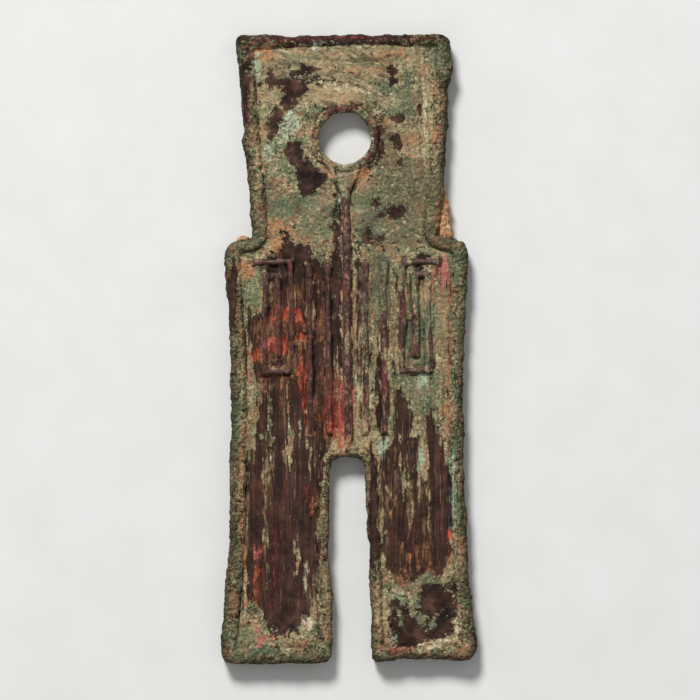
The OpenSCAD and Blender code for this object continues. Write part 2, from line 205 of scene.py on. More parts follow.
ORANGE = [
    (-7.3, 27.2, 1.1, 0.7, 0), (6.2, 19.3, 0.45, 0.7, 0), (6.2, 17.9, 0.4, 0.4, 0),
    (7.6, 20.3, 0.25, 0.3, 0), (4.6, 27.0, 1.4, 0.35, 0), (0.6, 25.4, 0.9, 0.3, 15),
    (1.5, 16.0, 1.1, 0.42, 22), (-6.1, -3.0, 0.12, 2.6, 0), (-1.6, 16.0, 0.4, 0.5, 29),
    (-6.6, 11.2, 0.7, 1.0, -30), (-6.4, 9.6, 0.6, 0.9, 20), (-5.3, 10.9, 0.6, 0.5, 0),
    (-9.2, 7.3, 0.9, 0.75, -30), (-9.55, -18.5, 0.16, 7.0, 1), (8.3, 24.2, 0.22, 1.0, 2),
    (8.2, 19.6, 0.2, 0.7, 0), (-4.4, 0.4, 1.0, 0.6, 0), (9.3, -3.0, 0.2, 5.0, 0),
    (8.9, -5.5, 0.35, 0.6, 0), (-3.1, -14.3, 0.3, 0.5, 0), (-8.5, -21.0, 0.3, 1.2, 0),
    (-1.9, -26.0, 0.35, 0.8, 0), (4.3, -14.3, 0.16, 0.8, 0), (3.8, -15.3, 0.16, 0.8, 0),
    (4.8, -18.7, 0.2, 0.8, 0), (5.5, -19.2, 0.2, 0.6, 0), (8.7, 13.0, 0.5, 2.2, -8),
]
RUST = [
    (4.9, -20.9, 0.8, 1.2, 0), (6.9, -19.3, 0.9, 1.5, 0), (7.7, -20.4, 0.8, 0.5, 0),
    (-1.4, -7.6, 1.0, 1.0, 0), (-5.0, 2.4, 1.8, 1.0, 0), (-7.2, -0.6, 1.2, 0.9, 0),
    (-3.0, -6.0, 0.9, 2.0, 0), (-6.6, 4.4, 1.0, 1.6, 0), (-3.4, 6.0, 0.5, 2.0, 0),
    (-6.8, 1.8, 1.6, 1.4, 0), (-4.2, -1.5, 1.1, 1.6, 0), (-2.3, 3.2, 0.5, 3.0, 0),
    (-7.6, -3.0, 0.9, 1.2, 0), (-4.6, 5.2, 1.2, 0.9, 0), (-2.0, -3.0, 0.5, 2.5, 0),
]
RED = [
    (-5.2, 3.1, 1.6, 0.75, 0), (-6.3, 0.5, 1.35, 0.75, 0), (-8.4, -0.4, 0.8, 0.5, 0),
    (-3.9, 1.2, 1.2, 0.25, 0), (-4.0, -3.8, 0.42, 2.2, 4), (-1.5, -5.4, 0.7, 2.8, 0),
    (-0.3, -5.8, 1.0, 3.3, 0), (-8.4, -20.9, 0.3, 2.2, -4), (-7.7, -26.5, 0.7, 0.35, 0),
    (9.4, -17.2, 0.45, 0.7, 0),
]
PINK = [
    (8.7, 7.0, 0.8, 1.5, 0), (-8.5, -18.6, 0.3, 0.7, 0), (-7.8, -26.7, 0.8, 0.3, 0),
    (-8.3, -25.6, 0.2, 0.5, 0), (-9.0, -2.4, 0.3, 0.4, 0), (-7.0, 0.4, 0.8, 0.35, 10),
]
CRIMSON = [
    (-8.75, 22.5, 0.17, 5.5, -4), (-7.7, 12.8, 0.25, 0.7, 0), (-1.9, 21.6, 0.4, 0.3, 30),
    (-9.0, -2.3, 0.3, 0.5, 0), (-3.6, -5.0, 0.5, 0.8, 0), (8.5, 7.2, 0.4, 0.8, 0),
    (4.6, -27.9, 1.6, 0.42, 0), (1.0, -1.0, 0.2, 4.5, 0), (-7.0, -20.0, 0.16, 4.5, 0),
    (-3.5, -13.6, 0.5, 1.5, 0), (-6.2, -20.5, 0.12, 3.6, 0), (-5.0, 28.4, 2.8, 0.14, 0),
    (0.2, -1.5, 0.28, 7.0, 0), (-0.9, -4.6, 1.0, 2.4, 0), (0.5, 28.55, 8.0, 0.14, 0),
    (7.6, 28.4, 1.6, 0.14, 0), (-8.6, 27.3, 0.2, 0.8, 0),
]
MINT = [
    (-8.2, 26.0, 0.35, 1.5, 0), (-2.4, 27.9, 0.5, 0.4, 0), (-5.2, 20.4, 0.65, 1.5, -25),
    (-7.0, 18.3, 0.35, 0.8, 0), (6.8, -3.2, 0.45, 0.9, 0), (3.2, -9.0, 0.45, 0.8, 0),
    (9.6, -13.0, 0.22, 4.0, 0), (6.7, -11.3, 0.18, 2.2, 0), (4.1, -26.5, 0.3, 0.4, 0),
    (-0.6, 13.8, 0.22, 0.6, 0),
]

# Places where the raised lines stay under their crust
BURIED = [
    (0.1, 15.8, 2.6, 2.0, 0), (7.3, 4.0, 0.9, 2.6, 0), (4.6, 6.5, 0.4, 1.4, 0),
]

# Places where crust has silted up the field: x, y, half width, half height, mm high
SILT = [
    (8.3, 18.5, 1.7, 8.0, 0.26), (1.0, 27.3, 8.0, 1.3, 0.3), (-7.4, 11.2, 1.2, 1.8, 0.14),
    (-6.5, -26.6, 3.5, 1.3, 0.26), (3.4, -24.0, 0.9, 3.6, 0.16), (0.4, -9.0, 2.6, 0.9, 0.16),
]


# Smooth noise

def noise(points, size, seed):
    """Noise of about -1 to 1, with bumps of the given size in mm, one number or one per axis."""
    slopes = np.random.default_rng(seed).normal(size=(SLOPES, 3))
    slopes = (slopes / np.linalg.norm(slopes, axis=1)[:, None]).astype(np.float32).T
    spots = (points / np.asarray(size, float)).T
    base = np.floor(spots).astype(np.int64)
    part = (spots - base).astype(np.float32)
    ease = part ** 3 * (part * (part * 6 - 15) + 10)
    total = np.zeros(len(points), np.float32)
    for corner in CORNERS:
        x, y, z = (b + c for b, c in zip(base, corner))
        pick = (x * HASH[0] ^ y * HASH[1] ^ z * HASH[2]) & (SLOPES - 1)
        share, slope = 1.0, 0.0
        for axis, c in enumerate(corner):
            share = share * (ease[axis] if c else 1 - ease[axis])
            slope = slope + (part[axis] - c) * slopes[axis][pick]
        total += share * slope
    return NOISE_GAIN * total


def fractal(points, size, seed, octaves):
    """Noise with finer and fainter noise on it."""
    size = np.asarray(size, float)
    return sum(noise(points, size / 2 ** k, seed + k) / 2 ** k for k in range(octaves))


def step_between(low, high, value):
    """0 before low and 1 after high, smoothly; low may be the larger of the two."""
    t = np.clip((value - low) / (high - low), 0, 1)
    return t * t * (3 - 2 * t)


# Maps of the coin's plan

def plan_noise(size, seed, octaves=2):
    """Noise at each point of the plan."""
    x, y = np.meshgrid(PLAN_X, PLAN_Y, indexing="ij")
    points = np.stack([x.ravel(), y.ravel(), np.zeros(x.size)], 1)
    return fractal(points, size, seed, octaves).reshape(len(PLAN_X), len(PLAN_Y))


def look(plan, x, y):
    """Values of a plan map at places in mm, straight between its points."""
    short = 1.001        # keeps the next point on the map
    u = np.clip((x - PLAN_X[0]) / PLAN_STEP, 0, len(PLAN_X) - short)
    v = np.clip((y - PLAN_Y[0]) / PLAN_STEP, 0, len(PLAN_Y) - short)
    i, j = u.astype(int), v.astype(int)
    u, v = u - i, v - j
    low = plan[i, j] * (1 - u) + plan[i + 1, j] * u
    high = plan[i, j + 1] * (1 - u) + plan[i + 1, j + 1] * u
    return low * (1 - v) + high * v


def triangles_of(node):
    """A node's triangles in mm."""
    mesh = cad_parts[node].data
    mesh.calc_loop_triangles()
    places = np.array([v.co for v in mesh.vertices]) / MM
    return places[np.array([t.vertices for t in mesh.loop_triangles])]


def cut_at(triangles, z):
    """Straight pieces of the outline in which a level plane cuts a solid."""
    above = triangles[:, :, 2] > z
    cut = above.any(1) & ~above.all(1)
    triangles, above = triangles[cut], above[cut]
    ends = np.full((len(triangles), 3, 2), np.nan)
    for k in range(3):
        n = (k + 1) % 3
        crosses = above[:, k] != above[:, n]
        start, end = triangles[crosses, k], triangles[crosses, n]
        share = (z - start[:, 2]) / (end[:, 2] - start[:, 2])
        ends[crosses, k] = start[:, :2] + share[:, None] * (end - start)[:, :2]
    return ends[~np.isnan(ends[:, :, 0])].reshape(-1, 2, 2)


def distance_map(segments):
    """Distance in mm from each point of the plan to an outline, negative inside it."""
    gap = np.full((len(PLAN_X), len(PLAN_Y)), FAR)
    turns = np.zeros((len(PLAN_X) + 1, len(PLAN_Y)), int)
    for start, end in segments:
        low, high = np.minimum(start, end), np.maximum(start, end)
        i = slice(*np.searchsorted(PLAN_X, (low[0] - FAR, high[0] + FAR)))
        j = slice(*np.searchsorted(PLAN_Y, (low[1] - FAR, high[1] + FAR)))
        x, y = PLAN_X[i, None] - start[0], PLAN_Y[None, j] - start[1]
        run = end - start
        along = np.clip((x * run[0] + y * run[1]) / max(run @ run, 1e-12), 0, 1)
        gap[i, j] = np.minimum(gap[i, j], np.hypot(x - along * run[0], y - along * run[1]))
        rows = np.flatnonzero((PLAN_Y > low[1]) & (PLAN_Y <= high[1]))
        cross = start[0] + (PLAN_Y[rows] - start[1]) / (run[1] or 1.0) * run[0]
        np.add.at(turns, (np.searchsorted(PLAN_X, cross), rows), 1)
    inside = np.cumsum(turns[:-1], axis=0) % 2 == 1
    return np.where(inside, -gap, gap)


def outline_gap(node, level):
    """Distance in plan from a node's outline at a level."""
    return distance_map(cut_at(triangles_of(node), level))


def raised_gap(level, lines):
    """Distance in plan from the raised lines of a face, and less closely from its rims."""
    rims = [outline_gap(node, level) + RIM_GAP for node in ("border", "hole_collar")]
    return np.min([outline_gap(node, level) for node in lines] + rims, axis=0)


FACE_GAP = raised_gap(FIELD_FRONT + LINE_LEVEL, FACE_LINES)
BACK_GAP = raised_gap(FIELD_BACK - LINE_LEVEL, ["back_ridge"])
FIELD_GAP = outline_gap("field", MID_Z)
FACE_LODGED = plan_noise(LODGED_SIZE, seed=611, octaves=3)
BACK_LODGED = plan_noise(LODGED_SIZE, seed=621, octaves=3)
STRAY_X = STRAY * plan_noise(3.2, seed=11)
STRAY_Y = STRAY * plan_noise(3.2, seed=21)


def strayed(x, y):
    """Where a place on the weathered coin was on the regular one."""
    dx, dy = np.zeros_like(x), np.zeros_like(y)
    for cx, cy, rx, ry, sx, sy in NUDGES:
        pull = np.exp(-((x - cx) / rx) ** 2 - ((y - cy) / ry) ** 2)
        dx, dy = dx + sx * pull, dy + sy * pull
    return x - dx - look(STRAY_X, x, y), y - dy - look(STRAY_Y, x, y)


# Patina maps of both faces

def streaky(x, y):
    """Where the patina is drawn out in streaks: the body and legs, and the head's right side."""
    foot = np.where(x > 0, LEG_ENDS[1], LEG_ENDS[0])
    body = step_between(*BODY_TOP, y) * step_between(foot - LEG_FADE, foot + LEG_FADE, y)
    side = HEAD_STREAKS * step_between(*HEAD_SIDE_X, x) * step_between(*HEAD_SIDE_Y, y)
    return np.maximum(body, side)


def patch_map(patches, x, y):
    """How far inside the nearest of some ellipses each place is, in about mm."""
    best = np.full_like(x, -FAR)
    for cx, cy, rx, ry, turn in patches:
        c, s = math.cos(math.radians(turn)), math.sin(math.radians(turn))
        u, v = (x - cx) * c + (y - cy) * s, (y - cy) * c - (x - cx) * s
        best = np.maximum(best, (1 - np.hypot(u / rx, v / ry)) * max(min(rx, ry), THIN))
    return best


def keep_to_crust(maps, crust):
    """Olive and green lie on crust only, so their maps end where it does."""
    for name in ("olive", "green"):
        maps[name] = np.minimum(maps[name], crust + 0.1)


def face_maps():
    """The ornamented face, painted from its patches with ragged edges."""
    x, y = np.meshgrid(PLAN_X, PLAN_Y, indexing="ij")
    body = streaky(x, y)
    along = WANDER + WANDER * body
    x = x + WANDER * plan_noise(1.1, seed=31) + FRAY * plan_noise(0.4, seed=41)
    y = y + along * plan_noise(1.1, seed=51) + FRAY * plan_noise(0.4, seed=61)
    streaks = plan_noise(STREAK, seed=71)
    blotches = plan_noise(0.8, seed=81, octaves=3)
    brown = patch_map(BROWN, x, y).clip(-BROWN_DEPTH, BROWN_DEPTH)
    crust = np.maximum(np.minimum(CRUST_DEPTH, -brown), patch_map(ISLANDS, x, y))
    crust = crust + body * STREAKED * streaks + BLOTCHED * blotches
    maps = {"crust": crust}
    layers = {"olive": OLIVE, "green": GREEN, "tan": TAN, "cream": CREAM, "orange": ORANGE,
              "rust": RUST, "red": RED, "pink": PINK, "crimson": CRIMSON, "mint": MINT,
              "buried": BURIED}
    for number, (name, patches) in enumerate(layers.items()):
        ragged = RAGGED * plan_noise(0.5, seed=100 + 10 * number, octaves=3)
        maps[name] = patch_map(patches, x, y) + ragged
    keep_to_crust(maps, crust)
    return maps


def back_maps():
    """The back, whose patina is the same but falls where chance puts it."""
    rarity = {"olive": 0.4, "green": 0.65, "tan": 0.5, "cream": 1.0, "orange": 0.7, "rust": 0.45,
              "red": 0.7, "pink": 1.1, "crimson": 0.9, "mint": 0.75, "buried": 0.7}
    body = streaky(*np.meshgrid(PLAN_X, PLAN_Y, indexing="ij"))
    clouds = plan_noise((5.0, 9.0, 1.0), seed=290, octaves=6)
    crust = BACK_CRUST * clouds + BACK_MEAN - BACK_BARE * body
    maps = {"crust": crust + STREAKED * body * plan_noise(STREAK, seed=295)}
    for number, (name, rare) in enumerate(rarity.items()):
        clouds = plan_noise((2.6, 4.2, 1.0), seed=300 + 10 * number, octaves=4)
        maps[name] = BACK_CONTRAST * (clouds - rare)
    keep_to_crust(maps, crust)
    return maps


FACE, BACK = face_maps(), back_maps()


# Values at points of the coin

def both_faces(face, back, points, x, y):
    """Values of the face's plan map on the front of the coin and of the back's behind."""
    front = step_between(MID_Z - TURNOVER, MID_Z + TURNOVER, points[:, 2])
    return front * look(face, x, y) + (1 - front) * look(back, x, y)


def patina_at(name, points):
    """How far inside a layer of patina each point is."""
    return both_faces(FACE[name], BACK[name], points, points[:, 0], points[:, 1])


def gap_at(points):
    """Distance in mm from the raised lines of the nearer face."""
    return both_faces(FACE_GAP, BACK_GAP, points, *strayed(points[:, 0], points[:, 1]))


def lodged_at(points):
    """Where earth is lodged along raised lines, above 0, or a groove is eaten out, below it."""
    return both_faces(FACE_LODGED, BACK_LODGED, points, points[:, 0], points[:, 1])


def rim_at(points):
    """How far in mm each point is out from the field, towards the coin's edge."""
    return look(FIELD_GAP, *strayed(points[:, 0], points[:, 1]))


def body_at(points):
    """How far the patina is streaked at each point."""
    return streaky(points[:, 0], points[:, 1])


def wiped_at(points):
    """Where the crust is drawn out sideways in wrinkles: the top of the head."""
    x, y = points[:, 0], points[:, 1]
    return HEAD_WIPED * step_between(*WIPED_Y, y) * step_between(*WIPED_X, x)


def height_at(points):
    """How far in mm each point is above the field of its face."""
    return np.maximum(points[:, 2] - FIELD_FRONT, FIELD_BACK - points[:, 2])


# Weathered solids

def swelling(points, lumps, grit):
    """How far in mm corrosion pushes a surface out at each point, or eats it away."""
    crust = step_between(-0.1, 0.12, patina_at("crust", points))
    wiped = wiped_at(points)
    wide = lumps * (noise(points, 2.2, seed=401) + 0.7 * noise(points, 0.9, seed=402))
    grain = noise(points, 0.42, seed=403) + 0.5 * noise(points, 0.26, seed=404)
    grain = grain * (1 - WIPED_SMOOTH * wiped)
    streaks = noise(points, (0.45, 5.0, 0.8), seed=405)
    pits = step_between(0.45, 0.8, noise(points, 0.9, seed=406))
    leaning = points + np.outer(points[:, 0], (0.0, WRINKLE_FALL, 0.0))
    wrinkles = noise(leaning, (3.0, 0.5, 0.8), seed=407)
    return (wide + CRUST_H * crust + grit * (GRAIN_H + CRUST_GRAIN_H * crust) * grain
            + STREAK_H * body_at(points) * streaks + WRINKLE_H * wiped * wrinkles
            - PIT_DEPTH * grit * pits * crust)


def silted(points):
    """How far in mm crust fills the field, or a groove along a raised line is eaten out of it."""
    gap, lodged = gap_at(points), lodged_at(points)
    fill = LODGED_H * step_between(0.4, 0.0, gap) * step_between(-0.05, 0.25, lodged)
    fill = fill - GROOVE * step_between(0.5, 0.1, gap) * step_between(0.05, -0.25, lodged)
    x, y, z = points.T
    for cx, cy, rx, ry, high in SILT:
        reach = step_between(1.0, 0.3, np.hypot((x - cx) / rx, (y - cy) / ry)) * (z > MID_Z)
        fill = np.maximum(fill, (high + GROOVE) * reach - GROOVE)
    return fill


def round_max(a, b, reach):
    """The larger of two distances, with the edge where they meet worn round."""
    spare = np.maximum(reach - np.abs(a - b), 0)
    return np.maximum(a, b) + spare * spare / (4 * reach)


def weathered(node, cell, lumps, wear, grit=1.0, spread=0.0, shift=0.0, sink=0.0, rise=0.0):
    """Vertices and quads of a node's solid, worn round, then corroded.

    The solid is worked out on a grid of cells, as the distance from its surface. Its edges are
    worn round by wear, and lumps and grit say how coarsely and finely it is corroded. It is
    spread sideways, shifted in x, sunk below its lowest level and raised above its highest one
    where it has to reach into its neighbours. All are in mm apart from grit. Nothing reaches
    below the floor.
    """
    low, high = box_mm(node)
    triangles = triangles_of(node)
    bottom, top = low[2] - sink, high[2] + rise
    margin = BAND + spread + abs(shift) + 2 * cell
    first = np.floor((np.array([low[0], low[1], bottom]) - margin) / cell)
    last = np.ceil((np.array([high[0], high[1], top]) + margin) / cell)
    axes = [np.arange(a, b) * cell for a, b in zip(first, last)]
    x, y = np.meshgrid(axes[0], axes[1], indexing="ij")
    old_x, old_y = strayed(x - shift, y)
    solid = np.empty((len(axes[0]), len(axes[1]), len(axes[2])))
    maps = {}
    for k, z in enumerate(axes[2]):
        level = round(float(np.clip(z, low[2] + SKIN, high[2] - SKIN)), 6)
        if level not in maps:
            maps[level] = look(distance_map(cut_at(triangles, level)), old_x, old_y) - spread
        solid[:, :, k] = round_max(maps[level], max(z - top, bottom - z), wear)
    near = np.abs(solid) < BAND
    i, j, k = np.nonzero(near)
    points = np.stack([axes[0][i], axes[1][j], axes[2][k]], 1)
    solid[near] -= swelling(points, lumps, grit)
    if node == "field":
        solid[near] -= silted(points)
    solid = np.maximum(solid, -axes[2])
    return surface_net(solid, first * cell, cell)


def well_joined(solid):
    """Distances filled in where two parts of a surface would meet only along an edge."""
    inside = solid < 0
    found = True
    while found:
        found = False
        for axis in range(3):
            side = np.moveaxis(inside, axis, 0)
            a, b = side[:, :-1, :-1], side[:, 1:, :-1]
            c, d = side[:, :-1, 1:], side[:, 1:, 1:]
            falling, rising = a & d & ~b & ~c, b & c & ~a & ~d
            b |= falling
            a |= rising
            found = found or falling.any() or rising.any()
    return np.where(inside & (solid >= 0), -FILL, solid)


def surface_net(solid, first, cell):
    """Closed quad mesh of the zero level of a solid's distances on a grid."""
    solid = well_joined(solid)
    shape = tuple(n - 1 for n in solid.shape)
    part = {c: solid[c[0]:c[0] + shape[0], c[1]:c[1] + shape[1], c[2]:c[2] + shape[2]]
            for c in CORNERS}
    filled = sum((part[c] < 0).astype(np.int8) for c in CORNERS)
    active = (filled > 0) & (filled < len(CORNERS))
    index = np.full(shape, -1)
    index[active] = np.arange(active.sum())
    value = {c: part[c][active] for c in CORNERS}
    total = np.zeros((active.sum(), 3))
    count = np.zeros(active.sum())
    for a, b in EDGES:
        cross = (value[a] < 0) != (value[b] < 0)
        share = value[a][cross] / (value[a][cross] - value[b][cross])
        total[cross] += np.array(a) + share[:, None] * (np.array(b) - np.array(a))
        count[cross] += 1
    points = first + cell * (np.argwhere(active) + total / count[:, None])
    quads = [net_quads(solid < 0, index, axis) for axis in range(3)]
    return without_specks(points, np.concatenate(quads))


def net_quads(inside, index, axis):
    """Quads round the grid's edges along one axis that cross the surface."""
    inside = np.moveaxis(inside, axis, 0)
    index = np.moveaxis(index, axis, 0)
    here, there = inside[:-1, 1:-1, 1:-1], inside[1:, 1:-1, 1:-1]
    i, j, k = np.nonzero(here != there)
    j, k = j + 1, k + 1
    quads = np.stack([index[i, j, k], index[i, j - 1, k],
                      index[i, j - 1, k - 1], index[i, j, k - 1]], 1)
    outward = inside[i, j, k] if axis != 1 else ~inside[i, j, k]
    return np.where(outward[:, None], quads, quads[:, ::-1])


def without_specks(points, quads):
    """A mesh without its loose specks."""
    part, before = np.arange(len(points)), None
    while not np.array_equal(part, before):
        before = part.copy()
        np.minimum.at(part, quads, before[quads].min(1)[:, None])
        part = part[part]
    keep = np.bincount(part)[part] >= SPECK
    number = np.cumsum(keep) - 1
    return points[keep], number[quads[keep[quads[:, 0]]]]


def add_values(mesh, name, values):
    """Store one number per vertex for the material to read."""
    layer = mesh.attributes.new(name, "FLOAT", "POINT")
    layer.data.foreach_set("value", values.astype(np.float32))


def make_piece(name, node, slot, material, **weathering):
    """A weathered piece in place of a node, with its patina stored at its vertices."""
    points, quads = weathered(node, **weathering)
    mesh = bpy.data.meshes.new(name)
    mesh.from_pydata((points * MM).tolist(), [], quads.tolist())
    mesh.polygons.foreach_set("use_smooth", np.ones(len(quads), bool))
    for layer in FACE:
        highest = CRUST_HIGH if layer == "crust" else MAP_HIGH
        add_values(mesh, layer, patina_at(layer, points).clip(MAP_LOW, highest))
    add_values(mesh, "body", body_at(points))
    add_values(mesh, "rim", rim_at(points))
    add_values(mesh, "wiped", wiped_at(points))
    add_values(mesh, "gap", gap_at(points))
    add_values(mesh, "lodged", lodged_at(points))
    add_values(mesh, "height", height_at(points))
    mesh.materials.append(material)
    piece = bpy.data.objects.new(name, mesh)
    bpy.context.scene.collection.objects.link(piece)
    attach(piece, "root")
    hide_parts(node)


# Colours

def paint(red, green, blue):
    """A colour as it looks on a screen, 0 to 255, as the linear values Blender takes."""
    def linear(c):
        c = c / 255
        return c / 12.92 if c <= 0.04045 else ((c + 0.055) / 1.055) ** 2.4
    return (linear(red), linear(green), linear(blue), 1.0)


# From the dark to the light grains of a surface
CRUST_GRAINS = [paint(43, 38, 30), paint(89, 84, 63), paint(132, 123, 93), paint(169, 157, 121),
                paint(206, 193, 157)]
BROWN_GRAINS = [paint(31, 24, 21), paint(56, 40, 34), paint(92, 65, 54)]
PLUM_GRAINS = [paint(38, 27, 24), paint(70, 46, 41), paint(116, 76, 68)]
LODGED_GRAINS = [paint(120, 78, 50), paint(170, 138, 98), paint(196, 176, 134)]
SOIL_GRAINS = [paint(104, 58, 40), paint(190, 130, 88), paint(226, 190, 150)]

# Tints and specks on the crust
TAN_TINT = paint(156, 130, 96)
MOSS_TINT = paint(84, 104, 74)
PINK_TINT = paint(170, 118, 90)
GREEN_TINT = paint(96, 117, 88)
PIT = paint(46, 35, 29)
PALE_GRAIN = paint(204, 192, 160)

# Tints and specks on the bronze, with painted shade in crevices and towards the rim, and a painted
# highlight on rubbed crests
BROWN_GRIT = paint(104, 70, 60)
RUST_STREAK = paint(116, 60, 47)
EARTH_STREAK = paint(148, 122, 90)
DUST = paint(176, 156, 128)
BLUSH = paint(126, 60, 58)
RUBBED_AND_HIGHLIGHT = paint(170, 134, 118)
CREVICE_DIRT_AND_SHADE = paint(34, 26, 22)
RIM_SHADE = paint(34, 30, 24)

FLOOR_TONES = [paint(226, 226, 223), paint(231, 231, 229)]

# Each layer of patina: how thickly it covers, how loosely it scatters, and its grains
LAYERS = [
    ("olive", 0.7, 2.8, [paint(48, 45, 35), paint(88, 83, 64), paint(130, 122, 95)]),
    ("green", 0.6, 2.4, [paint(52, 59, 46), paint(90, 103, 80), paint(136, 146, 118)]),
    ("tan", 0.85, 2.2, [paint(108, 86, 60), paint(168, 144, 106), paint(214, 194, 156)]),
    ("orange", 0.85, 2.6, [paint(106, 66, 46), paint(178, 122, 84), paint(216, 178, 138)]),
    ("rust", 0.8, 2.8, [paint(66, 42, 34), paint(118, 78, 58), paint(176, 132, 100)]),
    ("red", 0.9, 2.5, [paint(92, 42, 36), paint(178, 78, 58), paint(222, 130, 98)]),
    ("pink", 0.8, 3.0, [paint(104, 54, 54), paint(178, 94, 92), paint(216, 152, 142)]),
    ("crimson", 0.8, 2.6, [paint(60, 31, 31), paint(110, 52, 50), paint(166, 100, 92)]),
    ("mint", 0.85, 2.8, [paint(98, 112, 90), paint(160, 178, 148), paint(222, 230, 208)]),
    ("cream", 0.9, 2.4, [paint(154, 134, 104), paint(200, 182, 148), paint(232, 220, 194)]),
]

CRUST_ROUGHNESS = 0.88
FLOOR_ROUGHNESS = 0.9
GRAIN_RANGE = (0.34, 0.66)            # of a noise, from its darkest to its lightest grains
SMEAR = {"turn": 13, "waves": 1.2}    # lean and waves of the crust wiped sideways


# Materials

class Sheet:
    """One material's node tree, with short calls for the nodes used here."""

    def __init__(self, name):
        self.material = bpy.data.materials.new(name)
        self.material.use_nodes = True
        self.tree = self.material.node_tree
        self.tree.nodes.clear()

    def add(self, kind, inputs, **settings):
        """A node whose inputs are fed by other nodes' sockets or by plain values."""
        node = self.tree.nodes.new(kind)
        for key, value in settings.items():
            setattr(node, key, value)
        for key, value in inputs.items():
            if isinstance(value, bpy.types.NodeSocket):
                self.tree.links.new(value, node.inputs[key])
            else:
                node.inputs[key].default_value = value
        return node

    def value(self, name):
        """A number that the piece carries at its vertices."""
        return self.add("ShaderNodeAttribute", {}, attribute_name=name).outputs["Fac"]

    def plus(self, a, b):
        return self.add("ShaderNodeMath", {0: a, 1: b}, operation="ADD").outputs[0]

    def minus(self, a, b):
        return self.add("ShaderNodeMath", {0: a, 1: b}, operation="SUBTRACT").outputs[0]

    def times(self, a, b):
        return self.add("ShaderNodeMath", {0: a, 1: b}, operation="MULTIPLY").outputs[0]

    def larger(self, a, b):
        return self.add("ShaderNodeMath", {0: a, 1: b}, operation="MAXIMUM").outputs[0]

    def noise(self, size, stretch=(1, 1, 1), detail=5.0, roughness=0.7, offset=0.0, turn=0.0,
              waves=0.0):
        """Noise with grains of a size in mm, stretched along the object's axes.

        The axes can be turned about z by some degrees, and the grains bent into waves.
        """
        place = self.add("ShaderNodeTexCoord", {}).outputs["Object"]
        if turn:
            place = self.add("ShaderNodeMapping", {
                "Vector": place, "Rotation": (0, 0, math.radians(turn))}).outputs[0]
        scale = tuple(1 / (size * MM * s) for s in stretch)
        start = (offset, 2 * offset, 3 * offset)
        place = self.add("ShaderNodeMapping", {
            "Vector": place, "Scale": scale, "Location": start}).outputs[0]
        return self.add("ShaderNodeTexNoise", {
            "Vector": place, "Scale": 1.0, "Detail": detail, "Roughness": roughness,
            "Distortion": waves}).outputs["Fac"]

    def ramp(self, value, colours, low, high):
        """Colours in even steps from a low to a high value."""
        node = self.add("ShaderNodeValToRGB", {"Fac": value})
        points = node.color_ramp.elements
        while len(points) < len(colours):
            points.new(0.5)
        step = (high - low) / (len(colours) - 1)
        for number, (point, colour) in enumerate(zip(points, colours)):
            point.position = low + step * number
            point.color = colour
        return node.outputs["Color"]

    def grains(self, value, colours):
        return self.ramp(value, colours, *GRAIN_RANGE)

    def edge(self, value, low, high):
        """0 before low and 1 after high, smoothly; low may be the larger of the two."""
        inputs = {"Value": value, "From Min": low, "From Max": high}
        return self.add("ShaderNodeMapRange", inputs, interpolation_type="SMOOTHSTEP").outputs[0]

    def blend(self, share, a, b):
        """A share of colour b over colour a."""
        node = self.add("ShaderNodeMix", {0: share, 6: a, 7: b}, data_type="RGBA")
        return node.outputs[2]

    def tinted(self, colour, value, low, high, most, tint):
        """A colour with a tint over it where a value is high."""
        return self.blend(self.times(self.edge(value, low, high), most), colour, tint)

    def mix(self, share, a, b):
        """A share of number b over number a."""
        return self.add("ShaderNodeMix", {0: share, 2: a, 3: b}).outputs[0]

    def finish(self, shader_inputs):
        """The material, with its one shader."""
        shader = self.add("ShaderNodeBsdfPrincipled", shader_inputs)
        self.add("ShaderNodeOutputMaterial", {"Surface": shader.outputs[0]})
        return self.material


def crust_colour(sheet, body, dark):
    """Mottled crust: olive grains among tan, pink and green ones, with dark pits."""
    wiped = sheet.value("wiped")

    def spots(size, offset, roughness=0.72):
        grain = {"detail": 6.0, "roughness": roughness}
        still = sheet.noise(size, offset=offset, **grain)
        drawn = sheet.noise(0.8 * size, stretch=(1, 2.6, 1), offset=offset + 2.9, **grain)
        across = sheet.noise(0.7 * size, stretch=(3, 1, 1), offset=offset + 5.8, **grain, **SMEAR)
        return sheet.mix(wiped, sheet.mix(body, still, drawn), across)

    tone = sheet.minus(spots(1.1, offset=21.5), 0.5 + dark)
    round_grain = sheet.noise(0.24, detail=6.0)
    long_grain = sheet.noise(0.32, stretch=(3.4, 1, 1), detail=6.0, roughness=0.66, **SMEAR)
    grain = sheet.plus(sheet.mix(wiped, round_grain, long_grain), sheet.times(tone, 0.8))
    colour = sheet.grains(grain, CRUST_GRAINS)
    colour = sheet.tinted(colour, spots(2.4, offset=1.3), 0.46, 0.62, 0.5, TAN_TINT)
    colour = sheet.tinted(colour, spots(2.0, offset=5.0), 0.5, 0.64, 0.5, MOSS_TINT)
    for size, offset, most in ((1.7, 8.7, 0.45), (0.8, 12.4, 0.38)):
        hue = spots(size, offset, roughness=0.45)
        colour = sheet.tinted(colour, hue, 0.53, 0.66, most, PINK_TINT)
        colour = sheet.tinted(colour, hue, 0.47, 0.34, most, GREEN_TINT)
    pits = sheet.plus(sheet.noise(0.27, offset=16.1), 0.6 * dark)
    colour = sheet.tinted(colour, pits, 0.57, 0.65, 0.7, PIT)
    pale = sheet.minus(sheet.noise(0.26, offset=19.8), dark)
    return sheet.tinted(colour, pale, 0.59, 0.67, 0.6, PALE_GRAIN)


